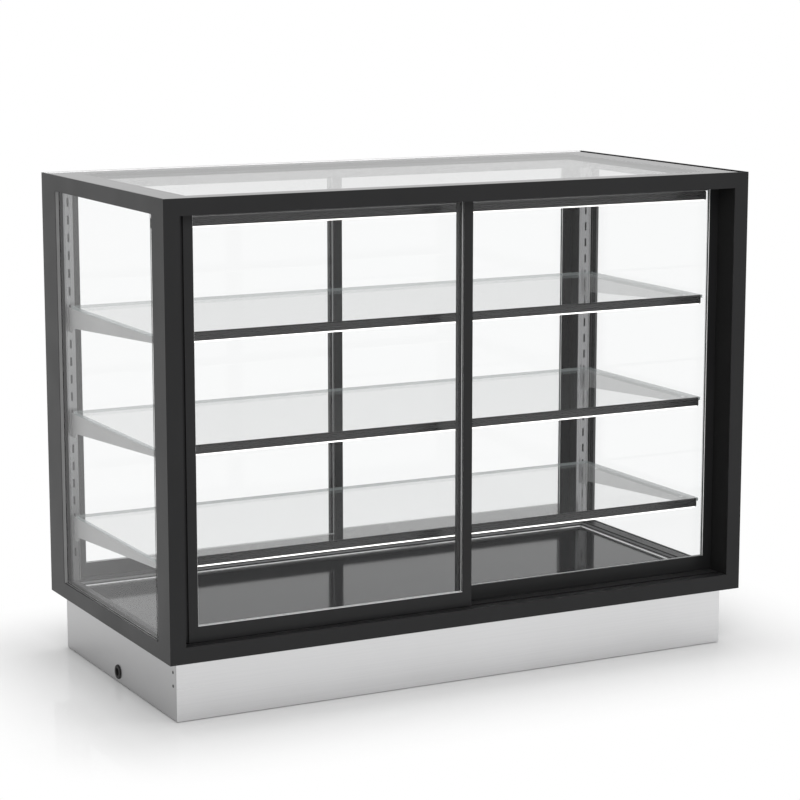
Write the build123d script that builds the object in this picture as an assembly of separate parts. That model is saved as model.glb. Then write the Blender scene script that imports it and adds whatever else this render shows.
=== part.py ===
"""Heated drop-in display case for a shop counter.

A black frame of four posts between two rings of beams carries a glass top, two fixed side panes and
two pairs of framed sliding doors, one pair at the front and one at the back. Inside, slotted
standards on the rear posts carry hooked, tapered brackets and three glass shelves, and a light bar
hangs under the top. A stainless plinth below the frame drops into the counter, and holds the heated
deck's pan, the electrics and the controls, which face the server at the back.

The origin is at the bottom centre, +X runs along the front, -Y is the customer's side and +Z is up.
All values are in millimetres.
"""

import os
from math import cos, pi, radians, sin, tan

from build123d import *

# Overall sizes
case_width = 1200.0
case_depth = 609.0
plinth_height = 113.0
body_height = 816.0

# Frame members
member_face = 30.0
member_height = 30.0
front_post_depth = 55.0
rear_post_depth = 57.0
rear_post_lip = 16.0
post_wall = 2.5
rear_base_depth = 71.0
front_track_backing = 12.0
rear_track_backing = 2.0
beam_wall = 3.0

# Glass and the grooves that hold it
side_glass_thickness = 5.0
side_glass_lip = 4.0
glass_play = 0.3
groove_depth = 8.0
edge_play = 1.0
top_glass_thickness = 6.0
top_lip = 3.0
top_recess = 1.0
top_edge_play = 0.5

# Sliding doors and their tracks
door_thickness = 10.0
post_stiles = {"front_left": 31.5, "front_right": 18.0, "rear_left": 22.5, "rear_right": 22.5}
meeting_stiles = {"left": 18.5, "right": 10.0}
meeting_edges = {"front_left": 11.0, "front_right": 0.5, "rear_left": 9.5, "rear_right": -1.5}
gripped_doors = ("front_left", "rear_left", "rear_right")
bottom_rail_height = 28.0
top_rail_height = 16.0
door_glass_thickness = 5.0
door_glass_bite = 7.0
door_end_play = 0.5
door_lift = 1.0
front_setback = 20.0
front_pitch = 35.0
rear_setback = 8.0
rear_pitch = 35.0
track_side_play = 1.0
track_wall = 2.0
track_web = 2.5
bottom_track_height = 12.0
top_track_height = 20.0
front_track_leg = 9.0
glide_width = 7.0
glide_length = 45.0
glide_inset = 60.0
glide_groove_width = 8.0
glide_groove_depth = 9.0
glide_play = 0.3
grip_width = 8.0
grip_depth = 4.0
grip_inset = 9.5

# Shelf standards and brackets
standard_width = 19.0
standard_depth = 10.0
standard_wall = 1.5
standard_inset = 8.0
standard_end_play = 1.0
slot_pitch = 203.0 / 6
slot_length = 17.0
slot_width = 4.0
slot_margin = 24.0
bracket_thickness = 3.0
bracket_rear_height = 37.0
bracket_heel_height = 46.0
bracket_heel_length = 14.0
hook_height = 9.0
hook_drop = 5.0
hook_thickness = 3.0
hook_play = 0.3

# Shelves and lights
shelf_pitch = 203.0
shelf_setback = 105.0
top_bar_drop = 14.0
shelf_glass_thickness = 6.0
rail_height = 17.0
rail_depth = 14.0
rail_lip = 4.0
rail_end_gap = 3.7
top_bar_end_gap = 14.7
end_cap_thickness = 3.0
rail_bevel = 2.0
diffuser_width = 9.0
diffuser_inset = 1.5
diffuser_seat = 2.0
diffuser_drop = 2.0
shelf_rear_gap = 14.0
hanger_width = 16.0
hanger_thickness = 2.0
hanger_inset = 30.0

# Heated deck
deck_recess = 10.0
deck_glass_thickness = 6.0
deck_trim_width = 6.0
deck_trim_rise = 0.6
deck_trim_play = 0.3
ledge_width = 16.0
ledge_thickness = 2.0
pan_flange = 10.0
pan_wall = 1.0
pan_depth = 36.0
pan_clearance = 4.0
mat_thickness = 1.5
mat_margin = 24.0
heating_strip_width = 10.0
heating_strip_height = 1.0
heating_strip_pitch = 36.0
heating_strip_runs = 11
lead_patch = (70.0, 40.0, 3.0)

# Plinth
plinth_side_inset = 23.7
plinth_front_inset = 31.3
plinth_rear_inset = 18.9
plinth_seat = 1.5
plinth_seat_play = 0.3
sheet = 1.5
panel_seam = 0.6
flange_width = 18.0
return_width = 20.0
return_floor_gap = 4.0
flange_gap = 2.0
floor_play = 1.0
rivet_setback = 16.3
rivet_heights = (62.0, 87.0)
rivet_shank_radius = 1.55
rivet_hole_radius = 1.6
rivet_head_radius = 3.2
rivet_head_height = 1.3
vent_slot_length = 60.0
vent_slot_height = 4.0
vent_slot_pitch = 10.0
vent_slot_count = 6
vent_columns = (-420.0, -340.0, -260.0)
vent_centre_height = 58.0

# Cable outlet on the left of the plinth
outlet_y = 12.0
outlet_z = 19.0
outlet_hole_radius = 11.0
grommet_bore_radius = 7.5
grommet_flange_radius = 13.5
grommet_flange = 2.5
grommet_play = 0.05

# Controls on the back of the plinth
control_height = 58.0
knob_from_end = 146.3
switches_from_end = {"power_rocker": 226.3, "light_rocker": 271.3}
knob_radius = 19.0
knob_skirt_radius = 21.0
knob_skirt = 3.0
knob_height = 14.0
knob_gap = 0.5
knob_bevel = 1.2
knob_flutes = 10
flute_radius = 3.0
pointer_width = 2.0
pointer_depth = 0.8
shaft_radius = 3.0
shaft_play = 0.05
shaft_end_gap = 0.6
knob_cap = 3.0
bushing_radius = 5.0
bushing_play = 0.2
thermostat_size = 38.0
thermostat_depth = 32.0
switch_bezel_width = 24.0
switch_bezel_height = 33.0
switch_bezel_proud = 2.0
switch_body_width = 20.0
switch_body_height = 29.0
switch_body_depth = 22.0
rocker_width = 14.0
rocker_radius = 12.0
rocker_play = 0.4
rocker_pivot_depth = 3.0
rocker_apex = 4.5
rocker_back = 5.0
rocker_tilt = 8.0
rocker_pin_radius = 1.5
rocker_pin_length = 1.2
rocker_pin_play = 0.05
driver_size = (165.0, 46.0, 32.0)
driver_place = (120.0, 85.6)
terminal_size = (76.0, 24.0, 14.0)
terminal_place = (-120.0, 85.6)
terminal_poles = 4

# Places worked out from the sizes above
half_width = case_width / 2
front_face = -case_depth / 2
rear_face = case_depth / 2
base_bottom = plinth_height
base_top = base_bottom + member_height
case_top = plinth_height + body_height
ring_top_bottom = case_top - member_height
opening_half = half_width - member_face
glass_rebate = top_recess + top_glass_thickness + glass_play

front_track_end = front_setback + front_pitch + door_thickness + track_side_play + track_wall
rear_track_end = rear_setback + rear_pitch + door_thickness + track_side_play + track_wall
front_beam_depth = front_track_end + front_track_backing
rear_top_depth = rear_track_end + rear_track_backing
side_front = front_face + front_beam_depth
side_rear_base = rear_face - rear_base_depth
side_rear_top = rear_face - rear_top_depth

track_ceiling = ring_top_bottom + top_track_height - track_web
door_bottom = base_top + door_lift
door_top = track_ceiling - door_lift
door_closed_edge = opening_half - door_end_play

rear_post_face = rear_face - rear_post_depth
standard_face = rear_post_face - standard_depth
side_glass_outer = half_width - side_glass_lip - glass_play
side_glass_inner = side_glass_outer - side_glass_thickness
slot_x = side_glass_inner - standard_inset - standard_width / 2
top_bar_top = ring_top_bottom - top_bar_drop
shelf_tops = [top_bar_top - shelf_pitch * (step + 1) for step in range(3)]
shelf_front = front_face + shelf_setback
shelf_glass_half = slot_x + bracket_thickness / 2
rail_half_length = slot_x - bracket_thickness / 2 - rail_end_gap - end_cap_thickness
top_bar_half_length = side_glass_inner - top_bar_end_gap - end_cap_thickness

deck_top = base_top - deck_recess
ledge_top = deck_top - deck_glass_thickness
pan_top = ledge_top - ledge_thickness
pan_bottom = pan_top - pan_depth

plinth_top = plinth_height + plinth_seat
plinth_half = half_width - plinth_side_inset
plinth_front_y = front_face + plinth_front_inset
plinth_rear_y = rear_face - plinth_rear_inset
knob_x = plinth_half - knob_from_end
switch_xs = {name: plinth_half - distance for name, distance in switches_from_end.items()}


def block(x_span, y_span, z_span):
    """A rectangular solid between two values on each axis."""
    spans = [sorted(span) for span in (x_span, y_span, z_span)]
    size = [high - low for low, high in spans]
    centre = [(high + low) / 2 for low, high in spans]
    return Pos(*centre) * Box(*size)


def across(side, inner, outer):
    """A span along X on one side of the case: side is -1 for the left and 1 for the right."""
    return (side * inner, side * outer)


def disc(x, z, y_span, radius):
    """A round bar along Y."""
    low, high = sorted(y_span)
    return Pos(x, (low + high) / 2, z) * Rot(90, 0, 0) * Cylinder(radius, high - low)


def bar_along_x(y, z, x_span, radius):
    """A round bar along X."""
    low, high = sorted(x_span)
    return Pos((low + high) / 2, y, z) * Rot(0, 90, 0) * Cylinder(radius, high - low)


def depth_span(face, first, last):
    """A span along Y between two depths measured in from the front or the rear face."""
    inward = 1 if face < 0 else -1
    return (face + inward * first, face + inward * last)


def side_glass_groove(side):
    """The groove round the side window that takes the edge of the fixed pane."""
    return block(
        across(side, side_glass_inner - glass_play, half_width - side_glass_lip),
        (front_face + front_post_depth - groove_depth, rear_post_face + groove_depth),
        (base_top - groove_depth, ring_top_bottom + groove_depth),
    )


def top_rebate():
    """The rebate in the upper ring that the top glass lies in."""
    return block(
        (-half_width + top_lip, half_width - top_lip),
        (front_face + top_lip, rear_face - top_lip),
        (case_top - glass_rebate, case_top + 1),
    )


def posts():
    """Four hollow posts.

    The front ones have an inner leg that closes the inner door's channel towards the side pane, and
    the rear ones a thin outer lip that covers the edge of the pane.
    """
    made = {}
    for side, hand in ((-1, "left"), (1, "right")):
        whole = across(side, opening_half, half_width)
        core = across(side, opening_half + post_wall, half_width - post_wall)
        height = (base_top, ring_top_bottom)
        groove = side_glass_groove(side)
        front = block(whole, (front_face, front_face + front_post_depth), height)
        front_core_end = front_face + front_post_depth - groove_depth - post_wall
        front -= block(core, (front_face + post_wall, front_core_end), height)
        jamb = across(side, opening_half, opening_half + post_wall)
        front += block(jamb, (front_face + front_post_depth, front_face + front_track_end), height)
        made[f"front_{hand}_post"] = front - groove
        rear = block(whole, (rear_post_face, rear_face), height)
        rear -= block(core, (rear_post_face + groove_depth + post_wall, rear_face - post_wall), height)
        lip = across(side, half_width - side_glass_lip, half_width)
        rear += block(lip, (rear_post_face - rear_post_lip, rear_post_face), height)
        made[f"rear_{hand}_post"] = rear - groove
    return made


def base_ring():
    """The lower ring: wide beams under the doors, square ones under the side panes."""
    cuts = side_glass_groove(-1) + side_glass_groove(1) + plinth_rebate()
    height = (base_bottom, base_top)
    track_floor = base_top - bottom_track_height
    hollow = (plinth_top + beam_wall, track_floor - beam_wall)
    made = {}
    ends = (
        ("front", front_face, front_setback, front_track_end, front_beam_depth),
        ("rear", rear_face, rear_setback, rear_track_end, rear_base_depth),
    )
    for name, face, setback, track_end, depth in ends:
        beam = block((-half_width, half_width), depth_span(face, 0, depth), height)
        first = setback - track_side_play - track_wall
        beam -= block(
            (-opening_half, opening_half), depth_span(face, first, track_end), (track_floor, base_top)
        )
        inner = opening_half - beam_wall
        beam -= block((-inner, inner), depth_span(face, beam_wall, depth - beam_wall), hollow)
        made[f"{name}_base_beam"] = beam - cuts
    for side, hand in ((-1, "left"), (1, "right")):
        beam = block(across(side, opening_half, half_width), (side_front, side_rear_base), height)
        beam -= block(
            across(side, opening_half + beam_wall, half_width - beam_wall),
            (side_front + beam_wall, side_rear_base - beam_wall),
            (plinth_top + beam_wall, base_top - groove_depth - beam_wall),
        )
        made[f"{hand}_base_beam"] = beam - cuts
    return made


def top_ring():
    """The upper ring, with a rebate for the top glass and recesses for the door tracks."""
    grooves = side_glass_groove(-1) + side_glass_groove(1)
    rebate = top_rebate()
    height = (ring_top_bottom, case_top)
    made = {}
    ends = (
        ("front", front_face, front_setback, front_track_end, front_beam_depth),
        ("rear", rear_face, rear_setback, rear_track_end, rear_top_depth),
    )
    for name, face, setback, track_end, depth in ends:
        beam = block((-half_width, half_width), depth_span(face, 0, depth), height)
        first = setback - track_side_play - track_wall
        beam -= block(
            (-opening_half, opening_half),
            depth_span(face, first, track_end),
            (ring_top_bottom, ring_top_bottom + top_track_height),
        )
        made[f"top_{name}_beam"] = beam - grooves - rebate
    for side, hand in ((-1, "left"), (1, "right")):
        beam = block(across(side, opening_half, half_width), (side_front, side_rear_top), height)
        made[f"top_{hand}_beam"] = beam - grooves - rebate
    return made


def plinth_rebate():
    """The shallow rebate in the underside of the lower ring that the plinth's edge fits into."""
    return block(
        (-plinth_half - plinth_seat_play, plinth_half + plinth_seat_play),
        (plinth_front_y - plinth_seat_play, plinth_rear_y + plinth_seat_play),
        (base_bottom - 1, plinth_top),
    )


def fixed_glass():
    """The top pane and the two side panes."""
    top = block(
        (-half_width + top_lip + top_edge_play, half_width - top_lip - top_edge_play),
        (front_face + top_lip + top_edge_play, rear_face - top_lip - top_edge_play),
        (case_top - glass_rebate, case_top - top_recess - glass_play),
    )
    made = {"top_glass": top}
    for side, hand in ((-1, "left"), (1, "right")):
        made[f"{hand}_side_glass"] = block(
            across(side, side_glass_inner, side_glass_outer),
            (
                front_face + front_post_depth - groove_depth + edge_play,
                rear_post_face + groove_depth - edge_play,
            ),
            (base_top - groove_depth, ring_top_bottom + groove_depth - edge_play),
        )
    return made


def tracks():
    """Twin-channel tracks with a hollow web: shallow ones with glide grooves below, deep ones above."""
    made = {}
    ends = (
        ("front", front_face, front_setback, front_pitch, front_track_end),
        ("rear", rear_face, rear_setback, rear_pitch, rear_track_end),
    )
    span = (-opening_half, opening_half)
    for name, face, setback, pitch, track_end in ends:
        first = setback - track_side_play - track_wall
        depth = depth_span(face, first, track_end)
        bottom = block(span, depth, (base_top - bottom_track_height, base_top))
        top = block(span, depth, (ring_top_bottom, ring_top_bottom + top_track_height))
        hollow = depth_span(
            face,
            setback + door_thickness + track_side_play + track_wall,
            setback + pitch - track_side_play - track_wall,
        )
        bottom -= block(span, hollow, (base_top - bottom_track_height, base_top - track_web))
        top -= block(span, hollow, (ring_top_bottom + track_web, ring_top_bottom + top_track_height))
        for door_face in (setback, setback + pitch):
            middle = door_face + door_thickness / 2
            bottom -= block(
                span,
                depth_span(face, middle - glide_groove_width / 2, middle + glide_groove_width / 2),
                (base_top - glide_groove_depth, base_top),
            )
            top -= block(
                span,
                depth_span(
                    face, door_face - track_side_play, door_face + door_thickness + track_side_play
                ),
                (ring_top_bottom, track_ceiling),
            )
        if name == "front":
            leg = depth_span(face, track_end - track_wall, track_end)
            top += block(span, leg, (ring_top_bottom - front_track_leg, ring_top_bottom))
        made[f"{name}_bottom_track"] = bottom
        made[f"{name}_top_track"] = top
    return made


def door(x_span, y_span, stiles, grip=None):
    """One sliding door: a crimped frame with glides and a pane held in its inner groove."""
    low, high = sorted(x_span)
    near, far = sorted(y_span)
    middle = (near + far) / 2
    frame = block((low, high), (near, far), (door_bottom, door_top))
    window_x = (low + stiles[0], high - stiles[1])
    window_z = (door_bottom + bottom_rail_height, door_top - top_rail_height)
    frame -= block(window_x, (near - 1, far + 1), window_z)
    half_groove = door_glass_thickness / 2 + glass_play
    frame -= block(
        (window_x[0] - door_glass_bite, window_x[1] + door_glass_bite),
        (middle - half_groove, middle + half_groove),
        (window_z[0] - door_glass_bite, window_z[1] + door_glass_bite),
    )
    for x in (low + glide_inset, high - glide_inset):
        frame += block(
            (x - glide_length / 2, x + glide_length / 2),
            (middle - glide_width / 2, middle + glide_width / 2),
            (base_top - glide_groove_depth + glide_play, door_bottom + 1),
        )
    if grip:
        x, y_face, inward = grip
        frame -= block(
            (x - grip_width / 2, x + grip_width / 2),
            (y_face, y_face + inward * grip_depth),
            (door_bottom, door_top),
        )
    pane = block(
        (window_x[0] - door_glass_bite + edge_play, window_x[1] + door_glass_bite - edge_play),
        (middle - door_glass_thickness / 2, middle + door_glass_thickness / 2),
        (window_z[0] - door_glass_bite, window_z[1] + door_glass_bite - edge_play),
    )
    return frame, pane


def doors():
    """Two doors at the front and two at the back; the left one of each pair is nearer the customer.

    The gripped doors have a finger groove down the outer face of the stile at the post.
    """
    made = {}
    ends = (("front", front_face, front_setback, front_pitch), ("rear", rear_face, rear_setback, rear_pitch))
    for name, face, setback, pitch in ends:
        outward = -1 if face < 0 else 1
        for side, hand in ((-1, "left"), (1, "right")):
            first = setback if side == outward else setback + pitch
            at_post, at_middle = post_stiles[f"{name}_{hand}"], meeting_stiles[hand]
            x_span = (side * door_closed_edge, meeting_edges[f"{name}_{hand}"])
            y_span = depth_span(face, first, first + door_thickness)
            stiles = (at_post, at_middle) if side < 0 else (at_middle, at_post)
            grip = None
            if f"{name}_{hand}" in gripped_doors:
                grip = (side * (door_closed_edge - grip_inset), face - outward * first, -outward)
            frame, pane = door(x_span, y_span, stiles, grip)
            made[f"{name}_{hand}_door_frame"] = frame
            made[f"{name}_{hand}_door_glass"] = pane
    return made


def slot_heights():
    """Heights of the slot centres, counted so that every shelf's hooks meet a slot."""
    seat = shelf_tops[0] - shelf_glass_thickness - glass_play - hook_height / 2
    low = base_top + slot_margin
    high = ring_top_bottom - slot_margin
    first = seat - int((seat - low) / slot_pitch) * slot_pitch
    count = int((high - first) / slot_pitch) + 1
    return [first + slot_pitch * n + hook_drop / 2 for n in range(count)]


def shelf_standards():
    """A slotted channel on the front of each rear post, open towards the post."""
    made = []
    for side in (-1, 1):
        outer = slot_x + standard_width / 2
        inner = slot_x - standard_width / 2
        height = (base_top, ring_top_bottom - standard_end_play)
        channel = block(across(side, inner, outer), (standard_face, rear_post_face), height)
        channel -= block(
            across(side, inner + standard_wall, outer - standard_wall),
            (standard_face + standard_wall, rear_post_face),
            height,
        )
        for z in slot_heights():
            channel -= Pos(side * slot_x, standard_face, z) * Box(slot_width, standard_depth, slot_length)
        made.append(channel)
    return {"shelf_standards": Compound(children=made)}


def bracket(side, glass_top):
    """A tapered sheet bracket that hooks into two slots and carries the end of a shelf."""
    seat = glass_top - shelf_glass_thickness - glass_play
    nose = shelf_front + rail_depth
    heel = standard_face - hook_play
    front_height = rail_height - shelf_glass_thickness - glass_play
    outline = Polyline(
        (nose, seat),
        (heel, seat),
        (heel, seat - bracket_heel_height),
        (heel - bracket_heel_length, seat - bracket_heel_height),
        (heel - bracket_heel_length - 6, seat - bracket_rear_height),
        (nose, seat - front_height),
        close=True,
    )
    plate = make_face(Plane.YZ * outline)
    hook_back = standard_face + standard_wall + hook_play
    for step in (0, 1):
        top = seat - slot_pitch * step
        tab = block((-1, 1), (heel - 1, hook_back + hook_thickness), (top - hook_height, top))
        tab += block(
            (-1, 1),
            (hook_back, hook_back + hook_thickness),
            (top - hook_height - hook_drop, top - hook_height + 1),
        )
        plate += section(tab, section_by=Plane.YZ)
    solid = extrude(plate, bracket_thickness / 2, both=True)
    return Pos(side * slot_x, 0, 0) * solid


def shelf_brackets():
    """Three brackets on each side, one under each end of every shelf."""
    made = {}
    for side, hand in ((-1, "left"), (1, "right")):
        made[f"{hand}_shelf_brackets"] = Compound(children=[bracket(side, top) for top in shelf_tops])
    return made


def rail_section(with_rebate):
    """A rail's section with bevelled corners and its top front edge at (0, 0).

    The shelves' rails have a rebate for the edge of the glass.
    """
    bar = Pos(rail_depth / 2, -rail_height / 2) * Rectangle(rail_depth, rail_height)
    bar = chamfer(bar.vertices(), rail_bevel)
    if with_rebate:
        low = shelf_glass_thickness + glass_play
        rebate_depth = rail_depth - rail_lip
        bar -= Pos(rail_lip + rebate_depth / 2, -low / 2) * Rectangle(rebate_depth, low)
    return bar


def front_rail(top, half_length, with_rebate):
    """A shelf's front rail, or the light bar under the top."""
    strip = Rectangle(diffuser_width, diffuser_seat)
    seat = Pos(diffuser_inset + diffuser_width / 2, -rail_height + diffuser_seat / 2) * strip
    face = Plane.YZ * (rail_section(with_rebate) - seat)
    return Pos(0, shelf_front, top) * extrude(face, half_length, both=True)


def rail_end_caps():
    """A moulded cap on each end of every rail and of the light bar."""
    caps = []
    lengths = [(top, rail_half_length, True) for top in shelf_tops] + [(top_bar_top, top_bar_half_length, False)]
    for top, half_length, with_rebate in lengths:
        for side in (-1, 1):
            cap = extrude(Plane.YZ * rail_section(with_rebate), end_cap_thickness / 2, both=True)
            caps.append(Pos(side * (half_length + end_cap_thickness / 2), shelf_front, top) * cap)
    return {"rail_end_caps": Compound(children=caps)}


def light_diffusers():
    """An opal strip under the light bar and under every shelf rail."""
    strips = []
    lengths = [(top, rail_half_length) for top in shelf_tops] + [(top_bar_top, top_bar_half_length)]
    for top, half_length in lengths:
        under = top - rail_height
        strips.append(
            block(
                (-half_length, half_length),
                (shelf_front + diffuser_inset, shelf_front + diffuser_inset + diffuser_width),
                (under - diffuser_drop, under + diffuser_seat),
            )
        )
    return {"light_diffusers": Compound(children=strips)}


def shelves():
    """Three glass shelves with their front rails, and the light bar with its hangers."""
    made = {}
    for name, top in zip(("upper", "middle", "lower"), shelf_tops):
        made[f"{name}_shelf_rail"] = front_rail(top, rail_half_length, True)
        made[f"{name}_shelf_glass"] = block(
            (-shelf_glass_half, shelf_glass_half),
            (shelf_front + rail_lip + glass_play, standard_face - shelf_rear_gap),
            (top - shelf_glass_thickness - glass_play, top - glass_play),
        )
    bar = front_rail(top_bar_top, top_bar_half_length, False)
    for side in (-1, 1):
        x = side * (top_bar_half_length - hanger_inset)
        along = (x - hanger_width / 2, x + hanger_width / 2)
        back = shelf_front + rail_depth
        bar += block(along, (back - 1, back + hanger_thickness), (top_bar_top - rail_height / 2, ring_top_bottom))
        bar += block(
            across(side, abs(x) - hanger_width / 2, opening_half + hanger_width),
            (back, back + hanger_width),
            (ring_top_bottom - hanger_thickness, ring_top_bottom),
        )
    made["top_light_bar"] = bar
    return made


def deck():
    """The heated glass deck in its trim, on an angle ledge above the heater pan."""
    x_wall, y_low, y_high = opening_half, side_front, side_rear_base

    def ring(inset_out, inset_in, z_span):
        """A rectangular ring between two insets from the walls of the base ring."""
        outer = block((-x_wall + inset_out, x_wall - inset_out), (y_low + inset_out, y_high - inset_out), z_span)
        return outer - block(
            (-x_wall + inset_in, x_wall - inset_in), (y_low + inset_in, y_high - inset_in), z_span
        )

    def slab(inset, z_span):
        """A rectangular slab inset from the walls of the base ring."""
        return block((-x_wall + inset, x_wall - inset), (y_low + inset, y_high - inset), z_span)

    ledge = ring(0, ledge_width, (pan_top, ledge_top)) + ring(0, ledge_thickness, (plinth_top, pan_top))
    pan_inset = pan_clearance + pan_flange
    pan = slab(pan_inset, (pan_bottom, pan_top)) - slab(pan_inset + pan_wall, (pan_bottom + pan_wall, pan_top))
    pan += ring(pan_clearance, pan_inset + pan_wall, (pan_top - pan_wall, pan_top))
    fill_top = ledge_top - mat_thickness - lead_patch[2]
    fill = slab(pan_inset + pan_wall, (pan_bottom + pan_wall, fill_top))
    return {
        "deck_glass": slab(deck_trim_width + deck_trim_play, (ledge_top, deck_top)),
        "deck_trim": ring(0, deck_trim_width, (ledge_top, deck_top + deck_trim_rise)),
        "deck_ledge": ledge,
        "heater_pan": pan,
        "pan_insulation": fill,
        "deck_heater": heater_mat((y_low + y_high) / 2, (y_high - y_low) / 2),
    }


def heater_mat(y_centre, half_depth):
    """The heating mat under the deck glass: a sheet, a strip that runs to and fro, and a lead patch."""
    half_x, half_y = opening_half - mat_margin, half_depth - mat_margin
    under = ledge_top - mat_thickness
    mat = block((-half_x, half_x), (-half_y, half_y), (under, ledge_top))
    reach = half_x - heating_strip_pitch / 2
    level = (under - heating_strip_height, under)
    half_width_of_strip = heating_strip_width / 2
    for run in range(heating_strip_runs):
        y = (run - (heating_strip_runs - 1) / 2) * heating_strip_pitch
        mat += block((-reach, reach), (y - half_width_of_strip, y + half_width_of_strip), level)
        if run < heating_strip_runs - 1:
            side = 1 if run % 2 == 0 else -1
            turn = across(side, reach - heating_strip_width, reach)
            mat += block(turn, (y, y + heating_strip_pitch), level)
    long, deep, high = lead_patch
    mat += block((-long / 2, long / 2), (-deep / 2, deep / 2), (under - high, under))
    return Pos(0, y_centre, 0) * mat


def rivet_places():
    """Side, Y and Z of every rivet: two at each front corner of the plinth."""
    return [(side, plinth_front_y + rivet_setback, z) for side in (-1, 1) for z in rivet_heights]


def plinth_end(face, inward):
    """The front or rear panel, folded back at both sides, the top and the bottom."""
    inner_half = plinth_half - sheet
    near = face + inward * sheet
    panel = block((-plinth_half, plinth_half), (face, near), (0, plinth_top))
    for side in (-1, 1):
        panel += block(
            across(side, inner_half - sheet, inner_half),
            (near - inward * sheet / 2, near + inward * return_width),
            (return_floor_gap, plinth_top - flange_gap),
        )
    for z_span in ((0, sheet), (plinth_top - sheet, plinth_top)):
        panel += block(
            (-inner_half + sheet, inner_half - sheet),
            (near - inward * sheet / 2, near + inward * flange_width),
            z_span,
        )
    for side, y, z in rivet_places():
        panel -= bar_along_x(y, z, across(side, inner_half - 2 * sheet, inner_half + sheet), rivet_hole_radius)
    return panel


def plinth_side(side):
    """A side panel between the front and rear panels, with flanges for the ring and the floor."""
    inner = plinth_half - sheet
    y_low, y_high = plinth_front_y + sheet, plinth_rear_y - sheet
    seams = (y_low + panel_seam, y_high - panel_seam)
    panel = block(across(side, inner, plinth_half), seams, (0, plinth_top))
    gap = return_width + flange_gap
    for z_span in ((0, sheet), (plinth_top - sheet, plinth_top)):
        panel += block(across(side, inner - flange_width, inner + sheet / 2), (y_low + gap, y_high - gap), z_span)
    for rivet_side, y, z in rivet_places():
        if rivet_side == side:
            panel -= bar_along_x(y, z, across(side, inner - sheet, plinth_half + sheet), rivet_hole_radius)
    return panel


def plinth():
    """The stainless box that drops into the counter, its rivets and its cable grommet."""
    rear = plinth_end(plinth_rear_y, -1)
    through = (plinth_rear_y - 2 * sheet, plinth_rear_y + sheet)
    for x in vent_columns:
        for row in range(vent_slot_count):
            z = vent_centre_height + (row - (vent_slot_count - 1) / 2) * vent_slot_pitch
            rear -= Pos(x, plinth_rear_y, z) * Box(vent_slot_length, 4 * sheet, vent_slot_height)
    rear -= disc(knob_x, control_height, through, bushing_radius + bushing_play)
    for x in switch_xs.values():
        half_x = switch_body_width / 2 + bushing_play
        half_z = switch_body_height / 2 + bushing_play
        rear -= block(
            (x - half_x, x + half_x), through, (control_height - half_z, control_height + half_z)
        )
    left = plinth_side(-1) - bar_along_x(
        outlet_y, outlet_z, (-plinth_half - sheet, -plinth_half + 2 * sheet), outlet_hole_radius
    )
    floor_half = plinth_half - 2 * sheet - floor_play
    floor = block(
        (-floor_half, floor_half),
        (plinth_front_y + sheet + floor_play, plinth_rear_y - sheet - floor_play),
        (sheet, 2 * sheet),
    )
    return {
        "plinth_front": plinth_end(plinth_front_y, 1),
        "plinth_rear": rear,
        "plinth_left_side": left,
        "plinth_right_side": plinth_side(1),
        "plinth_floor": floor,
        "plinth_rivets": rivets(),
        "cable_grommet": grommet(),
    }


def rivets():
    """Domed blind rivets that join the side panels to the folded returns behind them."""
    tip = plinth_half - 2 * sheet
    crown = plinth_half + rivet_head_height
    dome_radius = (rivet_head_radius**2 + rivet_head_height**2) / (2 * rivet_head_height)
    outline = Polyline(
        (crown, 0), (tip, 0), (tip, rivet_shank_radius), (plinth_half, rivet_shank_radius),
        (plinth_half, rivet_head_radius),
    )
    dome = RadiusArc((plinth_half, rivet_head_radius), (crown, 0), dome_radius)
    rivet = revolve(make_face(Wire([*outline.edges(), dome])), Axis.X)
    made = []
    for side, y, z in rivet_places():
        made.append(Pos(0, y, z) * (rivet if side > 0 else rivet.mirror(Plane.YZ)))
    return Compound(children=made)


def grommet():
    """A rubber grommet whose waist holds the edge of the hole in the sheet."""
    neck = outlet_hole_radius - grommet_play
    outer_x = plinth_half + grommet_flange
    inner_x = plinth_half - sheet - grommet_flange
    body = bar_along_x(outlet_y, outlet_z, (-outer_x, -inner_x), neck)
    for edge in ((-outer_x, -plinth_half), (-plinth_half + sheet, -inner_x)):
        body += bar_along_x(outlet_y, outlet_z, edge, grommet_flange_radius)
    outer_rim = body.edges().filter_by(GeomType.CIRCLE).sort_by(Axis.X)[0]
    body = chamfer(outer_rim, grommet_flange / 3)
    return body - bar_along_x(outlet_y, outlet_z, (-outer_x - 1, -inner_x + 1), grommet_bore_radius)


def knob():
    """The thermostat's knob: a fluted grip on a skirt, with a pointer groove."""
    back = plinth_rear_y + knob_gap
    skirt = disc(0, 0, (0, knob_skirt), knob_skirt_radius)
    grip = disc(0, 0, (0, knob_height), knob_radius)
    grip = chamfer(grip.edges().sort_by(Axis.Y)[-1], knob_bevel)
    for n in range(knob_flutes):
        angle = 2 * pi * n / knob_flutes
        place = (knob_radius * cos(angle), knob_radius * sin(angle))
        grip -= disc(*place, (knob_skirt, knob_height + 1), flute_radius)
    body = skirt + grip
    body -= disc(0, 0, (-1, knob_height - knob_cap), shaft_radius + shaft_play)
    body -= block(
        (-pointer_width / 2, pointer_width / 2),
        (knob_height - pointer_depth, knob_height + 1),
        (knob_radius * 0.35, knob_radius + 1),
    )
    return Pos(knob_x, back, control_height) * body


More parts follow.
